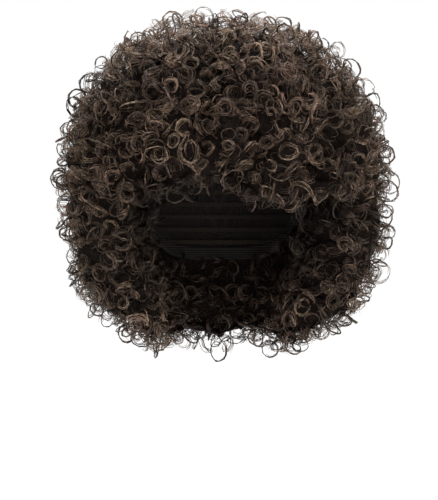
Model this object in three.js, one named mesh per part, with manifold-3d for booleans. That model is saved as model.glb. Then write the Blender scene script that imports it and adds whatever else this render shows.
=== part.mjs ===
// An afro wig, worn: an elastic cap that fits the head, with rows of curled hair that stand out
// from it as a ball, open at the face and the neck.
// Millimetres, +Z up, the face looks along -Y, and the origin is where the crown of the head meets the cap.
import * as THREE from 'three';
import { mergeVertices } from 'three/addons/utils/BufferGeometryUtils.js';
import Module from 'manifold-3d';

const wasm = await Module();
wasm.setup();

// The head and neck that the wig fits
const headWidth = 154;
const headDepth = 196;
const crownHeight = 96; // from the crown down to the widest level of the head
const neckWidth = 116;
const neckDepth = 130;
const neckDrop = 222; // from the crown down to the narrowest level of the neck

// The cap and the elastic band inside its edge
const capWall = 1.5;
const bandWall = 1.2;
const bandWidth = 13;
const clearance = 0.3; // between one piece and the next
const rowGap = 0.5; // between one row of hair and the next, at the cap
const hairlineDrop = 62; // from the crown down to the cap's edge at the forehead
const earTabDrop = 128;
const napeDrop = 164;

// The outline of the hair, as reaches from its centre
const hairWidth = 316;
const hairTop = 72; // above the crown
const hairDrop = 258; // from the crown down to the lowest curls
const hairFront = 150;
const hairBack = 164;
const widestDrop = 80; // from the crown down to the widest level of the hair
const topFullness = 2.15; // 2 is an ellipse, and more is fuller
const underFullness = 2.55;

// The locks, round tufts of curls packed over the ball
const lockPitch = 43; // from the middle of one lock to the next
const lockSpread = 57; // across a lock at its root, so that neighbours run into each other
const lockHeight = 27; // from the dense hair between the locks out to a lock's tip
const lockUneven = 4; // how much longer or shorter than that a lock may be
const facet = 11.5; // the size of the flat faces that follow the locks

// The face opening
const fringeDrop = 91; // from the crown down to the opening's top
const faceOver = 15; // how far the cut for it goes up behind the fringe
const faceBack = 24; // how far in front of the ears the opening starts
const faceRound = 30; // over this distance the hair rounds off towards the opening
const faceRoundDepth = 18; // how much lower the hair is at the opening's edge

// The fringe
const fringeAngle = 94; // where it ends, by the angle from straight up at the hair's centre
const fringeHang = 27; // how much lower it hangs over the left eye

// Sections of the head below its widest level. drop runs from the widest level, 0, to the neck, 1, and the
// other columns run from the neck's size, 0, to the head's, 1.
const headSections = [
  { drop: 0.0, width: 1.0, front: 1.0, back: 1.0 },
  { drop: 0.28, width: 0.98, front: 0.98, back: 0.94 },
  { drop: 0.55, width: 0.72, front: 0.9, back: 0.6 },
  { drop: 0.8, width: 0.22, front: 0.5, back: 0.16 },
  { drop: 1.0, width: 0.0, front: 0.0, back: 0.0 },
  { drop: 1.9, width: 0.25, front: 0.0, back: 0.1 },
];

// The cap's edge in side view, from the forehead to the nape. along is a share of half the head's depth, and
// drop a share of the size that its column of names gives.
const edgePoints = [
  { along: -1.3, drop: 0.96, of: hairlineDrop },
  { along: -0.98, drop: 1.0, of: hairlineDrop },
  { along: -0.72, drop: 1.3, of: hairlineDrop },
  { along: -0.5, drop: 0.86, of: earTabDrop },
  { along: -0.33, drop: 1.0, of: earTabDrop },
  { along: -0.16, drop: 0.97, of: earTabDrop },
  { along: 0.02, drop: 0.83, of: earTabDrop },
  { along: 0.22, drop: 0.87, of: earTabDrop },
  { along: 0.4, drop: 0.8, of: napeDrop },
  { along: 0.62, drop: 0.95, of: napeDrop },
  { along: 0.85, drop: 1.0, of: napeDrop },
  { along: 1.3, drop: 1.0, of: napeDrop },
];

// Levels of the face opening. drop runs from the fringe, 0, to the lowest curls, 1. width is a share of half
// the head's width, back a share of faceBack, and flare the angle at which the sides open forwards.
const faceSections = [
  { drop: 0.0, width: 0.74, back: 1.0, flare: 14 },
  { drop: 0.09, width: 1.0, back: 1.0, flare: 19 },
  { drop: 0.36, width: 1.0, back: 0.9, flare: 29 },
  { drop: 0.62, width: 0.85, back: 0.6, flare: 44 },
  { drop: 0.87, width: 0.79, back: 0.3, flare: 60 },
  { drop: 1.5, width: 0.79, back: 0.2, flare: 68 },
];

// Where the fringe hangs lower. turn is an angle round the head from the middle of the face towards its left,
// spread how far to each side of that the hang reaches, and drop a share of fringeHang.
const hangs = [
  { turn: 22, spread: 27, drop: 1.0 },
  { turn: -33, spread: 17, drop: 0.5 },
];

// The rows of hair from the crown to the nape, each between two angles from straight up at the hair's centre.
// An open row stops at each side of the face.
const rows = [
  { name: 'hair_crown', from: 0, to: 36 },
  { name: 'hair_upper_row', from: 36, to: 67 },
  { name: 'hair_fringe_row', from: 67, to: fringeAngle },
  { name: 'hair_lower_row', from: fringeAngle, to: 131, open: true },
  { name: 'hair_nape', from: 131, to: 168, open: true },
];

const radians = THREE.MathUtils.degToRad;
const mix = THREE.MathUtils.lerp;
const hairCentre = new THREE.Vector3(0, 0, -widestDrop);
const beyond = 2 * hairWidth; // outside everything
const coreRadius = headWidth / 6; // the rows are built from a core inside the head
const seat = bandWall + clearance; // the cap's inside stands this far off the head

// A repeatable number from -1 to 1 for a lock's small differences from its neighbours.
function chance(lock, use) {
  const wave = Math.sin(lock * 78.233 + use * 37.719) * 43758.5453;
  return 2 * (wave - Math.floor(wave)) - 1;
}

// A closed skin over rings of equally many points, which joins up as a loop or has a fan at each end.
function skin(rings, looped = false) {
  const sides = rings[0].length;
  const points = rings.flat();
  const faces = [];
  for (let ring = 0; ring < rings.length - (looped ? 0 : 1); ring++) {
    const after = ((ring + 1) % rings.length) * sides;
    for (let side = 0; side < sides; side++) {
      const next = (side + 1) % sides;
      const here = ring * sides;
      faces.push(here + side, here + next, after + next, here + side, after + next, after + side);
    }
  }
  const ends = looped ? [] : [
    { first: 0, ring: rings[0], turned: true },
    { first: points.length - sides, ring: rings.at(-1), turned: false },
  ];
  for (const { first, ring, turned } of ends) {
    const centre = ring.reduce((sum, point) => sum.add(point), new THREE.Vector3()).divideScalar(sides);
    points.push(centre);
    for (let side = 0; side < sides; side++) {
      const edge = [first + side, first + ((side + 1) % sides)];
      faces.push(...(turned ? edge.reverse() : edge), points.length - 1);
    }
  }
  return new THREE.BufferGeometry().setFromPoints(points).setIndex(faces);
}

// A closed geometry as a solid that can be joined and cut.
function solid(geometry) {
  const bare = geometry.clone();
  bare.deleteAttribute('normal');
  bare.deleteAttribute('uv');
  const merged = mergeVertices(bare, 1e-3);
  const corners = merged.index.array;
  const faces = [];
  for (let at = 0; at < corners.length; at += 3) {
    const [a, b, c] = corners.slice(at, at + 3);
    if (a !== b && b !== c && c !== a) faces.push(a, b, c);
  }
  return new wasm.Manifold(new wasm.Mesh({
    numProp: 3,
    vertProperties: merged.attributes.position.array,
    triVerts: new Uint32Array(faces),
  }));
}

// A ring of points at one level: half an ellipse in front and half behind.
function ring(sides, width, front, back, z) {
  return Array.from({ length: sides }, (_, side) => {
    const angle = (2 * Math.PI * side) / sides;
    const across = Math.cos(angle);
    const along = Math.sin(angle);
    return new THREE.Vector3(width * across, (along < 0 ? front : back) * along, z);
  });
}

// The head and neck, grown by a margin at the sides and another at the crown.
function headForm(margin, rise, sides = 32) {
  const crownLevels = [10, 26, 42, 58, 74];
  const crown = crownLevels.map((level) => {
    const share = Math.sin(radians(level));
    const drop = crownHeight * (1 - Math.cos(radians(level)));
    const side = share * (headWidth / 2 + margin);
    const depth = share * (headDepth / 2 + margin);
    return ring(sides, side, depth, depth, mix(rise, 0, drop / crownHeight) - drop);
  });
  const below = headSections.map(({ drop, width, front, back }) => ring(
    sides,
    mix(neckWidth, headWidth, width) / 2 + margin,
    mix(neckDepth, headDepth, front) / 2 + margin,
    mix(neckDepth, headDepth, back) / 2 + margin,
    -mix(crownHeight, neckDrop, drop),
  ));
  return solid(skin([...crown, ...below].reverse()));
}

// What lies under the cap's edge, with the edge raised by lift.
function underEdge(lift) {
  const line = new THREE.SplineCurve(edgePoints.map(({ along, drop, of }) => (
    new THREE.Vector2((along * headDepth) / 2, lift - drop * of)
  ))).getPoints(22);
  const outline = new THREE.Shape([
    ...line,
    new THREE.Vector2(line.at(-1).x, -beyond),
    new THREE.Vector2(line[0].x, -beyond),
  ]);
  const slice = new THREE.ExtrudeGeometry(outline, { depth: 2 * beyond, bevelEnabled: false });
  slice.translate(0, 0, -beyond);
  slice.rotateX(Math.PI / 2).rotateZ(Math.PI / 2);
  return solid(slice);
}

// The face opening, a wedge that widens forwards and down to the neck.
function faceForm() {
  const levels = faceSections.map(({ drop, width, back, flare }) => {
    const z = -mix(fringeDrop, hairDrop, drop);
    const side = (width * headWidth) / 2;
    const start = -faceBack * back;
    const spread = side + beyond * Math.tan(radians(flare));
    return [
      new THREE.Vector3(side, start, z),
      new THREE.Vector3(-side, start, z),
      new THREE.Vector3(-spread, start - beyond, z),
      new THREE.Vector3(spread, start - beyond, z),
    ];
  });
  const top = levels[0].map((point) => point.clone().setZ(faceOver - fringeDrop));
  return solid(skin([top, ...levels].reverse()));
}

// The direction at an angle from straight up and a bearing round it.
function direction(polar, bearing) {
  return new THREE.Vector3(
    Math.sin(polar) * Math.cos(bearing),
    Math.sin(polar) * Math.sin(bearing),
    Math.cos(polar),
  );
}

// How far the outline of the hair lies from its centre in a direction.
function reach(way) {
  const level = Math.hypot(way.x / (hairWidth / 2), way.y / (way.y < 0 ? hairFront : hairBack));
  const height = Math.abs(way.z) / (way.z > 0 ? hairTop + widestDrop : hairDrop - widestDrop);
  const fullness = way.z > 0 ? topFullness : underFullness;
  return (level ** fullness + height ** fullness) ** (-1 / fullness);
}

// How far a point is outside the face opening.
function fromFace(point) {
  const share = THREE.MathUtils.clamp((-point.z - fringeDrop) / (hairDrop - fringeDrop), 0, 1);
  const level = faceSections.findIndex(({ drop }) => drop > share);
  const [over, under] = [faceSections[level - 1], faceSections[level]];
  const part = (share - over.drop) / (under.drop - over.drop);
  const start = -faceBack * mix(over.back, under.back, part);
  const side = (mix(over.width, under.width, part) * headWidth) / 2;
  const slope = Math.tan(radians(mix(over.flare, under.flare, part)));
  return Math.max(
    point.z + fringeDrop,
    point.y - start,
    Math.abs(point.x) - side - (start - point.y) * slope,
  );
}

// The middle of each lock, as a direction from the hair's centre: a spiral that spaces them evenly.
const ballRadius = (hairWidth + hairTop + hairDrop) / 4;
const lockArea = (lockPitch ** 2 * Math.sqrt(3)) / 2;
const lockCount = Math.round((4 * Math.PI * ballRadius ** 2) / lockArea);
const lockSpots = Array.from({ length: lockCount }, (_, lock) => {
  const height = 1 - (2 * lock + 1) / lockCount;
  const bearing = lock * Math.PI * (3 - Math.sqrt(5)) + 0.1 * chance(lock, 1);
  return { way: direction(Math.acos(height), bearing), uneven: lockUneven * chance(lock, 2) };
});

// How far the surface of the hair, with its locks, lies from the hair's centre in a direction.
function hairSurface(way) {
  let nearest = { angle: Math.PI, uneven: 0 };
  for (const spot of lockSpots) {
    const angle = way.angleTo(spot.way);
    if (angle < nearest.angle) nearest = { angle, uneven: spot.uneven };
  }
  const away = (nearest.angle * ballRadius) / (lockSpread / 2);
  const dome = Math.sqrt(Math.max(0, 1 - away ** 2));
  const outline = reach(way);
  const apart = fromFace(way.clone().multiplyScalar(outline).add(hairCentre));
  const rounding = THREE.MathUtils.clamp(1 - apart / faceRound, 0, 1) ** 2;
  return outline - lockHeight * (1 - dome) + nearest.uneven * dome - faceRoundDepth * rounding;
}

// The angle from straight up where one row ends and the next starts, at a bearing round the head.
function border(angle, bearing) {
  if (angle !== fringeAngle) return radians(angle);
  const hang = hangs.reduce((sum, { turn, spread, drop }) => {
    const flat = Math.cos(radians(spread));
    const share = (Math.cos(bearing - radians(turn - 90)) - flat) / (1 - flat);
    return sum + Math.max(0, share) * drop * fringeHang;
  }, 0);
  return radians(angle) + hang / hairFront;
}

// A row of hair as a whole ring about a core inside the head, before the head and the face are cut from it.
function rowRing({ from, to }) {
  const rise = radians(to - from);
  const downs = Math.round((rise * ballRadius) / facet);
  const widest = Math.max(Math.sin(radians(from)), Math.sin(radians(to)));
  const arounds = Math.round((2 * Math.PI * ballRadius * widest) / facet);
  const inset = rowGap / headWidth;
  const sections = Array.from({ length: arounds }, (_, step) => {
    const bearing = (2 * Math.PI * step) / arounds;
    const top = border(from, bearing) + (from ? inset : 0);
    const foot = border(to, bearing) - inset;
    const ways = Array.from({ length: downs + 1 }, (__, down) => (
      direction(mix(top, foot, down / downs), bearing)
    ));
    const outside = ways.map((way) => way.clone().multiplyScalar(hairSurface(way)));
    const core = [ways[0], ways.at(-1)].map((way) => way.clone().multiplyScalar(coreRadius));
    return [core[0], ...outside, core[1]].map((point) => point.add(hairCentre));
  });
  return solid(skin(sections, true));
}

const hollow = headForm(seat + capWall + clearance, capWall + clearance);
const face = faceForm();

function hairRow(row) {
  const whole = rowRing(row).subtract(hollow);
  return row.open ? whole.subtract(face) : whole;
}

function cap() {
  const wall = headForm(seat + capWall, capWall).subtract(headForm(seat, 0));
  return wall.subtract(underEdge(0));
}

function edgeBand() {
  const wall = headForm(bandWall, -clearance).subtract(headForm(0, -clearance - bandWall));
  return wall.subtract(underEdge(0)).intersect(underEdge(bandWidth));
}

// A named mesh of a finished solid.
function piece(name, made, finish) {
  const { vertProperties, triVerts } = made.getMesh();
  const geometry = new THREE.BufferGeometry();
  geometry.setAttribute('position', new THREE.BufferAttribute(vertProperties, 3));
  geometry.setIndex(new THREE.BufferAttribute(triVerts, 1));
  geometry.computeVertexNormals();
  const mesh = new THREE.Mesh(geometry, new THREE.MeshStandardMaterial(finish));
  mesh.name = name;
  return mesh;
}

const netting = { color: 0x1c1715, roughness: 0.9, metalness: 0 };
const elastic = { color: 0x15110f, roughness: 0.8, metalness: 0 };
const curls = { color: 0x3a2f28, roughness: 0.55, metalness: 0 };

const wig = new THREE.Group();
wig.add(piece('cap', cap(), netting));
wig.add(piece('edge_band', edgeBand(), elastic));
rows.forEach((row) => wig.add(piece(row.name, hairRow(row), curls)));

export default wig;
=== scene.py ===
import math
import random

import bmesh
import bpy
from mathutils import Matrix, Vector, noise
from mathutils.bvhtree import BVHTree


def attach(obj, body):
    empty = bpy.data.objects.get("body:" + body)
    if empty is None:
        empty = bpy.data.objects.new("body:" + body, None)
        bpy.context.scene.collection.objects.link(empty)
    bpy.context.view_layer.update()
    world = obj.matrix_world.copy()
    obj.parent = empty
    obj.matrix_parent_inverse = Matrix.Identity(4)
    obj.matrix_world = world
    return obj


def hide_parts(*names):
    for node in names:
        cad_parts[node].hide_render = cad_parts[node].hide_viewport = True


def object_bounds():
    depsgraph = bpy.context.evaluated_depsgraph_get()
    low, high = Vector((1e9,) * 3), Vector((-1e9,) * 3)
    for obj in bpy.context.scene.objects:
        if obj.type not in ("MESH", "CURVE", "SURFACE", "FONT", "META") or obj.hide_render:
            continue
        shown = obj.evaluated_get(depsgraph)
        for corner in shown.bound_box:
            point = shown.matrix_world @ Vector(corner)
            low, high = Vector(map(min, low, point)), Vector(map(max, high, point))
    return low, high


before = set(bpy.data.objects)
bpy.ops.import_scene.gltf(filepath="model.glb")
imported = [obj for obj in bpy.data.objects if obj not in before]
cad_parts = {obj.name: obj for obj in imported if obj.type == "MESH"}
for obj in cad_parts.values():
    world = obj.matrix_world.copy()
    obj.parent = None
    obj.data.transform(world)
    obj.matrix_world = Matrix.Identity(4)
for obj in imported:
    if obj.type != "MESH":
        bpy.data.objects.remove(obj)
cad_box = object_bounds()


# The camera
# A long portrait lens, level with the lower rows of curls and nearly straight in front of the wig.
camera_distance = 1.8
frame_height = 0.49
frame_middle = Vector((-0.0052, 0.0, -0.154))
camera_turn = math.radians(-3)

camera = bpy.data.objects.new("camera", bpy.data.cameras.new("camera"))
camera.data.lens = camera.data.sensor_width * camera_distance / frame_height
camera.location = frame_middle + camera_distance * Vector((math.sin(camera_turn), -math.cos(camera_turn), 0))
camera.rotation_euler = (frame_middle - camera.location).to_track_quat("-Z", "Y").to_euler()
bpy.context.scene.collection.objects.link(camera)
bpy.context.scene.camera = camera


# The cap
# A knitted net of black polyester, thin and a little open, that stretches to fit. Its shape is the CAD node's,
# and the knit is in its material.
class Wire:
    """An output of a node. Sums on wires add Math nodes to their tree, and node() adds any other."""

    def __init__(self, tree, socket=None):
        self.tree = tree
        self.socket = socket

    def node(self, kind, settings=None, inputs=None, output=0):
        made = self.tree.nodes.new(kind)
        for name, value in (settings or {}).items():
            if name == "stops":
                ramp = made.color_ramp.elements
                while len(ramp) < len(value):
                    ramp.new(0.5)
                for stop, (place, colour) in zip(ramp, value):
                    stop.position = place
                    stop.color = (*colour, 1)
            else:
                setattr(made, name, value)
        for name, value in (inputs or {}).items():
            socket = made.inputs[name] if isinstance(name, int) else self.named(made.inputs, name)
            if isinstance(value, Wire):
                self.tree.links.new(value.socket, socket)
            else:
                socket.default_value = value
        found = self.named(made.outputs, output) if isinstance(output, str) else made.outputs[output]
        return Wire(self.tree, found)

    @staticmethod
    def named(sockets, name):
        return next(socket for socket in sockets if socket.enabled and socket.name == name)

    def math(self, operation, *others):
        return self.node("ShaderNodeMath", {"operation": operation}, dict(enumerate(others)))

    def mix(self, share, low, high):
        """A colour between two, by a share from 0 to 1."""
        return self.node("ShaderNodeMix", {"data_type": "RGBA"}, {0: share, 6: (*low, 1), 7: (*high, 1)}, 2)

    def vector(self, operation, *values, output="Vector"):
        return self.node("ShaderNodeVectorMath", {"operation": operation}, dict(enumerate(values)), output)

    def scaled(self, by):
        """A vector made longer or shorter."""
        return self.node("ShaderNodeVectorMath", {"operation": "SCALE"}, {0: self, "Scale": by}, "Vector")

    def __add__(self, other):
        return self.math("ADD", self, other)

    def __sub__(self, other):
        return self.math("SUBTRACT", self, other)

    def __rsub__(self, other):
        return self.math("SUBTRACT", other, self)

    def __mul__(self, other):
        return self.math("MULTIPLY", self, other)

    __radd__ = __add__
    __rmul__ = __mul__


def new_material(name, roughness):
    """A material, its shader, and a wire to start its nodes from."""
    material = bpy.data.materials.new(name)
    material.use_nodes = True
    shader = material.node_tree.nodes["Principled BSDF"]
    shader.inputs["Roughness"].default_value = roughness
    return material, shader, Wire(material.node_tree)


def feed(shader, name, wire):
    wire.tree.links.new(wire.socket, shader.inputs[name])


def raise_by(shader, height, depth):
    """Gives a finish its fine relief, as deep as stated where the height is 1."""
    feed(shader, "Normal", height.node("ShaderNodeBump", None, {"Height": height, "Distance": depth}))


knit_pitch = 0.0016
knit_relief = 0.0004
yarn_half_width = 0.25
yarn_black = (0.016, 0.012, 0.010)
mesh_hole = (0.002, 0.0018, 0.0017)
join_within = 1e-5
sliver = 0.0003
crisp_angle = math.radians(40)

netting, netting_shader, start = new_material("netting", 0.85)
netting_shader.inputs["Specular IOR Level"].default_value = 0.15
place = start.node("ShaderNodeTexCoord", output="Object")
knit = start.node(
    "ShaderNodeTexVoronoi",
    {"feature": "DISTANCE_TO_EDGE"},
    {"Vector": place, "Scale": 1 / knit_pitch, "Randomness": 0.35},
    "Distance",
)
yarn = 1 - knit.math("SMOOTH_MIN", knit * (1 / yarn_half_width), 1, 0.1)
feed(netting_shader, "Base Color", start.mix(yarn, mesh_hole, yarn_black))
raise_by(netting_shader, yarn, knit_relief)


def merged(node):
    """A node's mesh with its corners joined."""
    shape = bmesh.new()
    shape.from_mesh(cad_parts[node].data)
    bmesh.ops.remove_doubles(shape, verts=shape.verts, dist=join_within)
    return shape


def into_mesh(shape, name):
    mesh = bpy.data.meshes.new(name)
    shape.to_mesh(mesh)
    shape.free()
    return mesh


def new_piece(name, mesh, material):
    piece = bpy.data.objects.new(name, mesh)
    bpy.context.scene.collection.objects.link(piece)
    mesh.materials.clear()
    mesh.materials.append(material)
    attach(piece, "root")
    return piece


def smooth_copy(node, name, material):
    """A node's form with its curved faces shaded as one surface and its edges left crisp.

    Sliver triangles go first, because they would show as patches in the shading.
    """
    shape = merged(node)
    bmesh.ops.dissolve_degenerate(shape, dist=sliver, edges=shape.edges)
    bmesh.ops.triangulate(shape, faces=shape.faces)
    mesh = into_mesh(shape, name)
    mesh.polygons.foreach_set("use_smooth", [True] * len(mesh.polygons))
    mesh.set_sharp_from_angle(angle=crisp_angle)
    piece = new_piece(name, mesh, material)
    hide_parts(node)


smooth_copy("cap", "cap_net", netting)


# The weft tapes
# The curls hang from machine-sewn polyester tapes, which run round the inside of the net one above the other and
# are held to it by a zigzag of thread.
top_tape_level = -0.016
tape_pitch = 0.013
tape_levels = 11
tape_width = 0.0045
tape_depth = 0.0009
tape_steps = 120
least_steps = 3
cap_middle = 0.01
stitch_length = 0.0024
stitch_width = 0.0030
thread_thickness = 0.00045
thread_out = 0.6
weave_relief = 0.0005


def surface_tree(node):
    """A node's faces, to find places on them with."""
    shape = merged(node)
    tree = BVHTree.FromBMesh(shape)
    shape.free()
    return tree


cap_surface = surface_tree("cap")


def tape_runs(level):
    """The stretches of the inside of the cap that lie at one level, each a list of points."""
    runs = [[]]
    for step in range(tape_steps + 1):
        angle = 2 * math.pi * step / tape_steps
        way = Vector((math.cos(angle), math.sin(angle), 0))
        hit = cap_surface.ray_cast(Vector((0, cap_middle, level)), way)[0]
        if hit is None:
            runs.append([])
        else:
            runs[-1].append((hit - way * tape_depth / 2, way))
    return [run for run in runs if len(run) > least_steps]


tape_corners = ((1, 1), (1, -1), (-1, -1), (-1, 1))
tape_shape = bmesh.new()
stitch_lines = []
for number in range(tape_levels):
    for run in tape_runs(top_tape_level - number * tape_pitch):
        stitch_lines.append([spot - way * tape_depth * thread_out for spot, way in run])
        rings = [
            [
                tape_shape.verts.new(spot + way * tape_depth / 2 * out + Vector((0, 0, tape_width / 2 * up)))
                for out, up in tape_corners
            ]
            for spot, way in run
        ]
        for ring, after in zip(rings, rings[1:]):
            for side in range(4):
                following = (side + 1) % 4
                tape_shape.faces.new((ring[side], ring[following], after[following], after[side]))
        tape_shape.faces.new(rings[0])
        tape_shape.faces.new(reversed(rings[-1]))
bmesh.ops.recalc_face_normals(tape_shape, faces=tape_shape.faces)
tape_mesh = into_mesh(tape_shape, "weft_tapes")

tape, tape_shader, start = new_material("weft_tape", 0.8)
tape_shader.inputs["Specular IOR Level"].default_value = 0.1
place = start.node("ShaderNodeTexCoord", output="Object")
weave = start.node("ShaderNodeTexNoise", None, {"Vector": place, "Scale": 900.0, "Detail": 1.0}, "Fac")
feed(tape_shader, "Base Color", start.mix(weave, (0.005, 0.004, 0.0034), (0.022, 0.017, 0.013)))
raise_by(tape_shader, weave, weave_relief)
new_piece("weft_tapes", tape_mesh, tape)


def round_section(thickness):
    """The section of a thread or a strand, with as few sides as its size needs."""
    return thickness.node("GeometryNodeCurvePrimitiveCircle", None, {"Resolution": 3, "Radius": thickness * 0.5})


def zigzag_tree():
    """A line resampled into stitches that swing up and down across a tape, as one mesh of thread."""
    tree = bpy.data.node_groups.new("zigzag", "GeometryNodeTree")
    face = tree.interface
    face.new_socket("Lines", in_out="INPUT", socket_type="NodeSocketGeometry")
    for label in ("Stitch", "Width", "Thickness"):
        face.new_socket(label, in_out="INPUT", socket_type="NodeSocketFloat")
    face.new_socket("Finish", in_out="INPUT", socket_type="NodeSocketMaterial")
    face.new_socket("Threads", in_out="OUTPUT", socket_type="NodeSocketGeometry")
    ends = tree.nodes.new("NodeGroupInput")
    given = {socket.name: Wire(tree, socket) for socket in ends.outputs if socket.name}
    start = Wire(tree)
    line = start.node("GeometryNodeMeshToCurve", None, {"Mesh": given["Lines"]})
    line = start.node(
        "GeometryNodeResampleCurve", {"mode": "LENGTH"}, {"Curve": line, "Length": given["Stitch"]}
    )
    odd = start.math("MODULO", start.node("GeometryNodeInputIndex"), 2)
    swing = start.node("ShaderNodeCombineXYZ", None, {"Z": (odd - 0.5) * given["Width"]})
    line = start.node("GeometryNodeSetPosition", None, {"Geometry": line, "Offset": swing})
    ring = round_section(given["Thickness"])
    made = start.node("GeometryNodeCurveToMesh", None, {"Curve": line, "Profile Curve": ring, "Fill Caps": True})
    made = start.node("GeometryNodeRealizeInstances", None, {"Geometry": made})
    made = start.node("GeometryNodeSetMaterial", None, {"Geometry": made, "Material": given["Finish"]})
    leave = tree.nodes.new("NodeGroupOutput")
    tree.links.new(made.socket, leave.inputs["Threads"])
    return tree


def grow(bed_mesh, name, tree, **values):
    """The mesh that a tree makes from a starting mesh, with the tree's inputs set by their names."""
    bed = bpy.data.objects.new(name + "_bed", bed_mesh)
    bpy.context.scene.collection.objects.link(bed)
    modifier = bed.modifiers.new("grown", "NODES")
    modifier.node_group = tree
    for item in tree.interface.items_tree:
        label = item.name.lower().replace(" ", "_")
        if item.in_out == "INPUT" and label in values:
            modifier[item.identifier] = values[label]
    bpy.context.view_layer.update()
    made = bed.evaluated_get(bpy.context.evaluated_depsgraph_get())
    mesh = bpy.data.meshes.new_from_object(made)
    bpy.data.objects.remove(bed)
    return mesh


line_points = []
line_edges = []
for line in stitch_lines:
    first = len(line_points)
    line_points += line
    line_edges += [(first + step, first + step + 1) for step in range(len(line) - 1)]
line_mesh = bpy.data.meshes.new("stitch_lines")
line_mesh.from_pydata(line_points, line_edges, [])

thread, thread_shader, start = new_material("stitch_thread", 0.6)
thread_shader.inputs["Specular IOR Level"].default_value = 0.2
place = start.node("ShaderNodeTexCoord", output="Object")
ply = start.node("ShaderNodeTexNoise", None, {"Vector": place, "Scale": 1500.0}, "Fac")
feed(thread_shader, "Base Color", start.mix(ply, (0.006, 0.005, 0.004), (0.024, 0.019, 0.016)))
threads = grow(
    line_mesh, "weft_stitches", zigzag_tree(),
    stitch=stitch_length, width=stitch_width, thickness=thread_thickness, finish=thread,
)
new_piece("weft_stitches", threads, thread)


# The edge band
# Woven elastic of rubber and polyester, ribbed along its length. It is sewn inside the cap's edge and holds the
# wig on.
rib_pitch = 0.0024
rib_relief = 0.0003
wave_pitch_at_scale_one = 0.314

elastic, elastic_shader, start = new_material("elastic", 0.75)
elastic_shader.inputs["Specular IOR Level"].default_value = 0.2
place = start.node("ShaderNodeTexCoord", output="Object")
rib = start.node(
    "ShaderNodeTexWave",
    {"bands_direction": "Z"},
    {"Vector": place, "Scale": wave_pitch_at_scale_one / rib_pitch, "Distortion": 0.4},
    "Fac",
)
feed(elastic_shader, "Base Color", start.mix(rib, (0.004, 0.0035, 0.0032), (0.02, 0.017, 0.015)))
raise_by(elastic_shader, rib, rib_relief)
smooth_copy("edge_band", "edge_elastic", elastic)


# The dense hair under the curls
# The rows of weft are packed so closely that their roots make one mass, which is coloured near-black as painted
# shade.
# Each row keeps the form of its locks and lies a little under the curls that cover it, deeper at the crown and
# along the lower edge, where the curls are loosest.
hair_rows = ("hair_crown", "hair_upper_row", "hair_fringe_row", "hair_lower_row", "hair_nape")
hair_centre = Vector((0, 0, -0.08))
side_sunk = 0.006
crown_sunk = 0.016
crown_from = -0.05
hem_sunk = 0.012
hem_from = -0.215
tuft_depth = 0.014
tuft_size = 0.007
root_relief = 0.003
hidden_gap = 0.0025
clear_of_cap = 0.030

# Painted shade: near-black, far darker than the curls' fibre, for the dense hair that lies in their shade.
shadow, shadow_shader, start = new_material("hair_in_shadow", 0.7)
shadow_shader.inputs["Specular IOR Level"].default_value = 0.08
place = start.node("ShaderNodeTexCoord", output="Object")
streaks = start.node(
    "ShaderNodeTexNoise",
    None,
    {"Vector": place, "Scale": 260.0, "Detail": 3.0, "Distortion": 2.5},
    "Fac",
)
tone = start.node(
    "ShaderNodeValToRGB",
    {"stops": [(0.35, (0.0015, 0.0009, 0.0007)), (0.7, (0.016, 0.009, 0.006))]},
    {"Fac": streaks},
)
feed(shadow_shader, "Base Color", tone)
raise_by(shadow_shader, streaks, root_relief)

surfaces = {"cap": cap_surface, **{node: surface_tree(node) for node in hair_rows}}


def open_faces(shape, node):
    """The faces that no other piece covers."""
    others = [surface for name, surface in surfaces.items() if name != node]
    return [
        face
        for face in shape.faces
        if all(other.find_nearest(face.calc_center_median(), hidden_gap)[0] is None for other in others)
    ]


def root_depth(spot):
    """How far under the row's own surface the roots lie at a spot."""
    up = min(max(spot.z - crown_from, 0) / (cad_box[1][2] - crown_from), 1)
    down = min(max(hem_from - spot.z, 0) / (hem_from - cad_box[0][2]), 1)
    tuft = tuft_depth / 2 * noise.noise(spot / tuft_size)
    return side_sunk + (crown_sunk - side_sunk) * up + (hem_sunk - side_sunk) * down + tuft


for node in hair_rows:
    shape = merged(node)
    shown = set(open_faces(shape, node))
    for face in shown:
        face.material_index = 1
    edges = [edge for edge in shape.edges if shown.intersection(edge.link_faces)]
    bmesh.ops.subdivide_edges(shape, edges=edges, cuts=1, use_grid_fill=True)
    bmesh.ops.triangulate(shape, faces=shape.faces)
    shape.normal_update()
    shown = {face for face in shape.faces if face.material_index == 1}
    places = {}
    for vert in shape.verts:
        if not shown.intersection(vert.link_faces):
            continue
        if shown.issuperset(vert.link_faces):
            places[vert] = vert.co - vert.normal * root_depth(vert.co)
        elif cap_surface.find_nearest(vert.co, clear_of_cap)[0] is None:
            places[vert] = vert.co - (vert.co - hair_centre).normalized() * root_depth(vert.co)
    for vert, spot in places.items():
        vert.co = spot
    for face in shape.faces:
        face.smooth = True
        face.material_index = 0
    base = new_piece(node + "_roots", into_mesh(shape, node + "_roots"), shadow)
    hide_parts(node)


# The curls
# Each curl is a lock of heat-set fibre that winds round as a ring of about 16 mm. Its thick strands make the ring
# and its fine ones the frizz. The locks stand all over the dense hair, and most show their rings end-on.
curl_radius = 0.0074
band_width = 0.0034
ring_ends = 0.82
ring_belly = 0.24
rise_easing = 0.8
strand = 0.00065
strand_tip = 0.4
strand_taper = 0.4
fine_share = 0.65
fine_spread = 1.8
fine_reach = (0.45, 1.2)
flattest = 0.78
widest_lag = 0.8
span_range = (0.7, 1.05)
stray = 0.0003
ringlet_kinds = 24
ringlet_foot = -0.0045
ringlet_spacing = 0.0148
most_per_area = 60000.0
picks = 1000
frizz_waves = 90.0
# How deep under the surface the painted root shade of the fibre starts.
root_shade_depth = 0.013
dark_brown = (0.004, 0.0022, 0.0014)
brown = (0.042, 0.0242, 0.0162)
pale_brown = (0.235, 0.160, 0.116)


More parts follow.
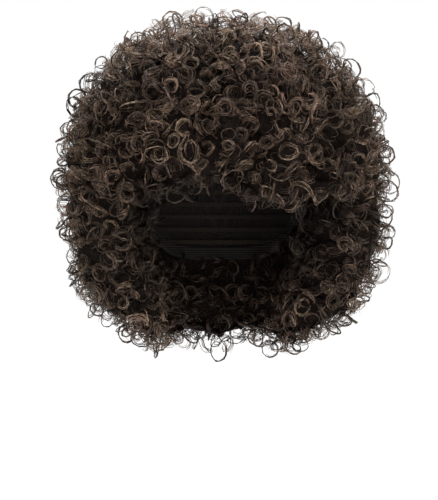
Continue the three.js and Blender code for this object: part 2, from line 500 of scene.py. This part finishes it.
def coil(draw, radius, band, turns, rise, thick, fine, points_each):
    """The strands of one curl, which winds round the Z axis: a list of points and a share of thickness each.

    The fine ones stray from the band, most of them into the ring.
    """
    strands = []
    start_angle = draw.uniform(0, 2 * math.pi)
    hand = draw.choice((-1, 1))
    flat = draw.uniform(flattest, 1.0)
    for number in range(thick + fine):
        high = draw.uniform(-band, band) / 2
        wide = radius + draw.uniform(-band, band) / 2
        if number >= thick:
            high *= fine_spread
            wide = radius * draw.uniform(*fine_reach)
        lag = draw.uniform(-widest_lag, widest_lag)
        span = turns * draw.uniform(*span_range)
        points = []
        for step in range(points_each):
            share = step / (points_each - 1)
            angle = hand * (start_angle + lag + 2 * math.pi * span * share)
            grown = wide * (ring_ends + ring_belly * math.sin(math.pi * share)) + draw.gauss(0, stray)
            height = rise * share**rise_easing + high + draw.gauss(0, stray)
            points.append(Vector((grown * math.cos(angle), flat * grown * math.sin(angle), height)))
        strands.append((points, 1.0 if number < thick else fine_share))
    return strands


def pattern(name, strands, foot):
    """A curl as a curve of several strands, which thin towards their ends, with its foot at a height."""
    curve = bpy.data.curves.new(name, "CURVE")
    curve.dimensions = "3D"
    for points, thickness in strands:
        spline = curve.splines.new("POLY")
        spline.points.add(len(points) - 1)
        for index, point in enumerate(points):
            share = index / (len(points) - 1)
            spline.points[index].co = (point.x, point.y, point.z + foot, 1)
            full = strand_tip + (1 - strand_tip) * math.sin(math.pi * share) ** strand_taper
            spline.points[index].radius = thickness * full
    return bpy.data.objects.new(name, curve)


draw = random.Random(11)
ringlets = bpy.data.collections.new("ringlets")
for number in range(ringlet_kinds):
    radius = curl_radius * draw.uniform(0.72, 1.3)
    turns = draw.uniform(0.9, 1.25)
    rise = draw.uniform(0.006, 0.013)
    strands = coil(draw, radius, band_width, turns, rise, thick=4, fine=4, points_each=12)
    ringlets.objects.link(pattern(f"ringlet_{number}", strands, ringlet_foot))


def sown_tree(name):
    """Curls sown over a surface, each turned and tilted by chance, made into one mesh."""
    tree = bpy.data.node_groups.new(name, "GeometryNodeTree")
    face = tree.interface
    face.new_socket("Surface", in_out="INPUT", socket_type="NodeSocketGeometry")
    face.new_socket("Patterns", in_out="INPUT", socket_type="NodeSocketCollection")
    for label in (
        "Spacing", "Tilt", "Least size", "Most size", "Thickness", "Frizz", "Depth", "Least tint", "Most tint"
    ):
        face.new_socket(label, in_out="INPUT", socket_type="NodeSocketFloat")
    face.new_socket("Seed", in_out="INPUT", socket_type="NodeSocketInt")
    face.new_socket("Finish", in_out="INPUT", socket_type="NodeSocketMaterial")
    face.new_socket("Curls", in_out="OUTPUT", socket_type="NodeSocketGeometry")
    ends = tree.nodes.new("NodeGroupInput")
    given = {socket.name: Wire(tree, socket) for socket in ends.outputs if socket.name}
    start = Wire(tree)

    def chance(low, high, seed, kind="FLOAT"):
        """A number drawn for each curl or strand. Each use has a seed of its own."""
        return start.node(
            "FunctionNodeRandomValue", {"data_type": kind}, {"Min": low, "Max": high, "Seed": seed}, "Value"
        )

    scatter = start.node(
        "GeometryNodeDistributePointsOnFaces",
        {"distribute_method": "POISSON"},
        {
            "Mesh": given["Surface"],
            "Distance Min": given["Spacing"],
            "Density Max": most_per_area,
            "Seed": given["Seed"],
        },
        "Points",
    )
    facing = Wire(tree, scatter.socket.node.outputs["Rotation"])
    turn = start.node(
        "ShaderNodeCombineXYZ",
        None,
        {
            "X": chance(given["Tilt"] * -1, given["Tilt"], 1),
            "Y": chance(given["Tilt"] * -1, given["Tilt"], 2),
            "Z": chance(-math.pi, math.pi, 3),
        },
    )
    turned = start.node(
        "FunctionNodeRotateRotation", {"rotation_space": "LOCAL"}, {"Rotation": facing, "Rotate By": turn}
    )
    pool = start.node(
        "GeometryNodeCollectionInfo",
        None,
        {"Collection": given["Patterns"], "Separate Children": True, "Reset Children": True},
    )
    sown = start.node(
        "GeometryNodeInstanceOnPoints",
        None,
        {
            "Points": scatter,
            "Instance": pool,
            "Pick Instance": True,
            "Instance Index": chance(0, picks, 5, "INT"),
            "Rotation": turned,
            "Scale": chance(given["Least size"], given["Most size"], 4),
        },
    )
    tinted = start.node(
        "GeometryNodeStoreNamedAttribute",
        {"data_type": "FLOAT", "domain": "INSTANCE"},
        {"Geometry": sown, "Name": "curl_tint", "Value": chance(given["Least tint"], given["Most tint"], 6)},
    )
    loose = start.node("GeometryNodeRealizeInstances", None, {"Geometry": tinted})
    loose = start.node(
        "GeometryNodeStoreNamedAttribute",
        {"data_type": "FLOAT", "domain": "CURVE"},
        {"Geometry": loose, "Name": "strand_tint", "Value": chance(0.0, 1.0, 7)},
    )
    # Each point's height above the sunk roots, which the fibre's painted root shade reads.
    inward = start.node("GeometryNodeInputNormal").scaled(given["Depth"] * -1)
    roots = start.node("GeometryNodeSetPosition", None, {"Geometry": given["Surface"], "Offset": inward})
    height = start.node("GeometryNodeProximity", {"target_element": "FACES"}, {0: roots}, "Distance")
    loose = start.node(
        "GeometryNodeStoreNamedAttribute",
        {"data_type": "FLOAT", "domain": "POINT"},
        {"Geometry": loose, "Name": "height", "Value": height},
    )
    stir = start.node("ShaderNodeTexNoise", None, {"Scale": frizz_waves, "Detail": 2.0}, "Color")
    stir = start.vector("SUBTRACT", stir, (0.5, 0.5, 0.5)).scaled(given["Frizz"])
    loose = start.node("GeometryNodeSetPosition", None, {"Geometry": loose, "Offset": stir})
    made = start.node(
        "GeometryNodeCurveToMesh",
        None,
        {
            "Curve": loose,
            "Profile Curve": round_section(given["Thickness"]),
            "Scale": start.node("GeometryNodeInputRadius"),
            "Fill Caps": True,
        },
    )
    made = start.node("GeometryNodeSetShadeSmooth", None, {"Geometry": made})
    made = start.node("GeometryNodeRealizeInstances", None, {"Geometry": made})
    made = start.node("GeometryNodeSetMaterial", None, {"Geometry": made, "Material": given["Finish"]})
    leave = tree.nodes.new("NodeGroupOutput")
    tree.links.new(made.socket, leave.inputs["Curls"])
    return tree


def ranged(wire, low, high, least, most, easing="LINEAR"):
    """A wire carried over from one range to another and kept within it."""
    return wire.node(
        "ShaderNodeMapRange",
        {"interpolation_type": easing},
        {"Value": wire, "From Min": low, "From Max": high, "To Min": least, "To Max": most},
        "Result",
    )


fibre, fibre_shader, start = new_material("curled_fibre", 0.36)
fibre_shader.inputs["Specular IOR Level"].default_value = 0.45
fibre_shader.inputs["Specular Tint"].default_value = (1.0, 0.82, 0.66, 1)
curl_tint, strand_tint, height = [
    start.node("ShaderNodeAttribute", {"attribute_name": name}, None, "Fac")
    for name in ("curl_tint", "strand_tint", "height")
]
place = start.node("ShaderNodeTexCoord", output="Object")
patch = start.node("ShaderNodeTexNoise", None, {"Vector": place, "Scale": 24.0, "Detail": 2.0}, "Fac")
# Painted glints: fine noise along the strands, lighter and darker, stands in for highlights on single fibres.
painted_glint = start.node("ShaderNodeTexNoise", None, {"Vector": place, "Scale": 330.0, "Detail": 2.0}, "Fac")

# Painted shade and light: the fibre is coloured darker deep in the ball and near its roots, where shade falls,
# and paler towards its tips and at the crown, where light falls.
outward = start.vector("SUBTRACT", place, tuple(hair_centre))
outward = start.vector("DIVIDE", outward, tuple((Vector(cad_box[1]) - Vector(cad_box[0])) / 2))
outward = start.vector("LENGTH", outward, output="Value")
painted_deep_shade = ranged(outward, 0.60, 0.95, 0.35, 1.0, "SMOOTHSTEP")
# Painted shade near the roots, fading to the fibre's own tone towards the tips.
painted_root_shade = ranged(height, 0.003, 0.028, 0.0, 1.0)
# Painted light at the crown, where the light from above falls.
painted_crown_light = ranged(start.node("ShaderNodeSeparateXYZ", None, {0: place}, "Z"), 0.01, 0.085, 0.0, 0.29)
# Random tone per curl, strand and patch, with the painted glints added.
tone_and_painted_glints = curl_tint * 0.28 + strand_tint * 0.22 + patch * 0.5 + painted_glint * 1.3
tone = start.node(
    "ShaderNodeValToRGB",
    {"stops": [(0.15, dark_brown), (0.5, brown), (0.85, pale_brown)]},
    {"Fac": (tone_and_painted_glints + painted_root_shade * 0.34 + painted_crown_light - 0.795) * painted_deep_shade},
)
hue = start.node(
    "ShaderNodeValToRGB",
    {"stops": [(0.2, (1.0, 0.94, 0.95)), (0.5, (1.0, 1.0, 1.0)), (0.8, (0.97, 1.0, 0.92))]},
    {"Fac": start.math("FRACT", curl_tint * 7.3)},
)
feed(fibre_shader, "Base Color", tone.vector("MULTIPLY", tone, hue))


def open_surface(node, wanted=lambda face: True):
    """The faces of a node that no other piece covers, as a mesh for curls to stand on."""
    shape = merged(node)
    kept = {face for face in open_faces(shape, node) if wanted(face)}
    bmesh.ops.delete(shape, geom=[face for face in shape.faces if face not in kept], context="FACES")
    return into_mesh(shape, node + "_surface")


curl_tree = sown_tree("sown_curls")
bare_surfaces = {}
for node in hair_rows:
    bare_surfaces[node] = open_surface(node)
    mesh = grow(
        bare_surfaces[node], node, curl_tree, patterns=ringlets, spacing=ringlet_spacing, tilt=0.75,
        least_size=0.85, most_size=1.2, thickness=strand, frizz=0.006, depth=root_shade_depth, least_tint=0.0,
        most_tint=1.0, seed=3, finish=fibre,
    )
    new_piece(node + "_curls", mesh, fibre)


# The hairline curls
# Smaller curls of the same fibre. The last wefts are sewn along the cap's edge, round the opening in front and at
# the nape, so that the edge doesn't show.
hairline_spacing = 0.0065
least_outward = 0.01


def faces_out(face):
    """Whether a face of the cap looks away from its middle."""
    away = face.calc_center_median() - Vector((0, cap_middle, 0))
    away.z = 0
    return face.normal.dot(away) >= least_outward


mesh = grow(
    open_surface("cap", faces_out), "hairline", curl_tree, patterns=ringlets, spacing=hairline_spacing,
    tilt=0.6, least_size=0.6, most_size=0.85, thickness=strand, frizz=0.004, depth=0.0, least_tint=0.0,
    most_tint=0.5, seed=4, finish=fibre,
)
new_piece("hairline_curls", mesh, fibre)


# The under curls
# Shorter, thicker locks of the same fibre fill the space between the rings, close to the roots. They are sewn in
# with the rest, and most closely at the nape, where the lower edge shows.
under_kinds = 12
under_strand = 0.0013
under_foot = -0.010
under_spacing = 0.0135
nape_spacing = 0.0101

draw = random.Random(23)
under_locks = bpy.data.collections.new("under_locks")
for number in range(under_kinds):
    radius = curl_radius * draw.uniform(0.6, 1.1)
    turns = draw.uniform(0.8, 1.2)
    rise = draw.uniform(0.003, 0.007)
    strands = coil(draw, radius, band_width, turns, rise, thick=1, fine=1, points_each=9)
    under_locks.objects.link(pattern(f"under_lock_{number}", strands, under_foot))

for node in hair_rows:
    spacing = nape_spacing if node == "hair_nape" else under_spacing
    mesh = grow(
        bare_surfaces[node], node, curl_tree, patterns=under_locks, spacing=spacing, tilt=0.6,
        least_size=0.8, most_size=1.2, thickness=under_strand, frizz=0.005, depth=root_shade_depth, least_tint=0.0,
        most_tint=0.8, seed=21, finish=fibre,
    )
    new_piece(node + "_under_curls", mesh, fibre)


# The loose curls
# Single ringlets of the fibre that the curling left free stand up out of the mass as hoops, so that light shows
# through them at the outline. They are sewn in with the rest.
hoop_kinds = 15
hoop_radius = 0.0088
hoop_band = 0.0010
hoop_strand = 0.0011
hoop_stand = 0.7
hoop_spacing = 0.0205

draw = random.Random(5)
hoops = bpy.data.collections.new("hoops")
for number in range(hoop_kinds):
    radius = hoop_radius * draw.uniform(0.7, 1.2)
    turns = draw.uniform(0.9, 1.3)
    rise = draw.uniform(0.002, 0.006)
    strands = coil(draw, radius, hoop_band, turns, rise, thick=3, fine=0, points_each=13)
    weight = draw.uniform(0.55, 1.25)
    strands = [(points, weight) for points, _ in strands]
    for points, _ in strands:
        for point in points:
            point.yz = -point.z, point.y
    hoops.objects.link(pattern(f"hoop_{number}", strands, radius * hoop_stand))

for node in hair_rows:
    mesh = grow(
        bare_surfaces[node], node, curl_tree, patterns=hoops, spacing=hoop_spacing, tilt=0.5,
        least_size=0.8, most_size=1.22, thickness=hoop_strand, frizz=0.003, depth=root_shade_depth, least_tint=-0.9,
        most_tint=0.05, seed=9, finish=fibre,
    )
    new_piece(node + "_loose_curls", mesh, fibre)


# The studio
# A plain pale floor, as far below as when the wig is worn standing, a white surround, and soft light from above,
# from both sides in front, from behind and from low in front.
crown_height = 1.75
reach = 40.0
paper_white = (0.94, 0.94, 0.94, 1)
surround_light = 0.22
sky_power = 3.2
sky_spread = math.radians(50)
sky_lean = math.radians(24)

floor_mesh = bpy.data.meshes.new("floor")
corners = [(reach * x, reach * y, -crown_height) for x, y in ((-1, -1), (1, -1), (1, 1), (-1, 1))]
floor_mesh.from_pydata(corners, [], [(0, 1, 2, 3)])
floor = bpy.data.objects.new("floor", floor_mesh)
paper, paper_shader, start = new_material("pale_paper", 0.9)
paper_shader.inputs["Base Color"].default_value = paper_white
floor_mesh.materials.append(paper)
bpy.context.scene.collection.objects.link(floor)

world = bpy.data.worlds.new("surround")
world.use_nodes = True
backdrop = world.node_tree.nodes["Background"]
backdrop.inputs["Color"].default_value = (1, 1, 1, 1)
seen = Wire(world.node_tree).node("ShaderNodeLightPath", output="Is Camera Ray")
feed(backdrop, "Strength", surround_light + (1 - surround_light) * seen)
bpy.context.scene.world = world
bpy.context.scene.view_settings.view_transform = "Standard"

sky_light = bpy.data.lights.new("sky_light", "SUN")
sky_light.energy = sky_power
sky_light.angle = sky_spread
sky = bpy.data.objects.new("sky_light", sky_light)
sky.rotation_euler = (sky_lean, 0, 0)
bpy.context.scene.collection.objects.link(sky)


def soft_light(name, place, power, size):
    """A square of light that faces the middle of the hair."""
    light = bpy.data.lights.new(name, "AREA")
    light.energy = power
    light.size = size
    lamp = bpy.data.objects.new(name, light)
    lamp.location = place
    lamp.rotation_euler = (hair_centre - Vector(place)).to_track_quat("-Z", "Y").to_euler()
    bpy.context.scene.collection.objects.link(lamp)


soft_light("left_light", (-1.6, -1.2, 0.5), power=16, size=0.7)
soft_light("right_light", (1.6, -1.2, 0.5), power=27, size=0.7)
soft_light("back_light", (0.0, 1.0, 1.3), power=22, size=0.8)
soft_light("low_light", (0.4, -1.5, -1.1), power=14, size=1.0)
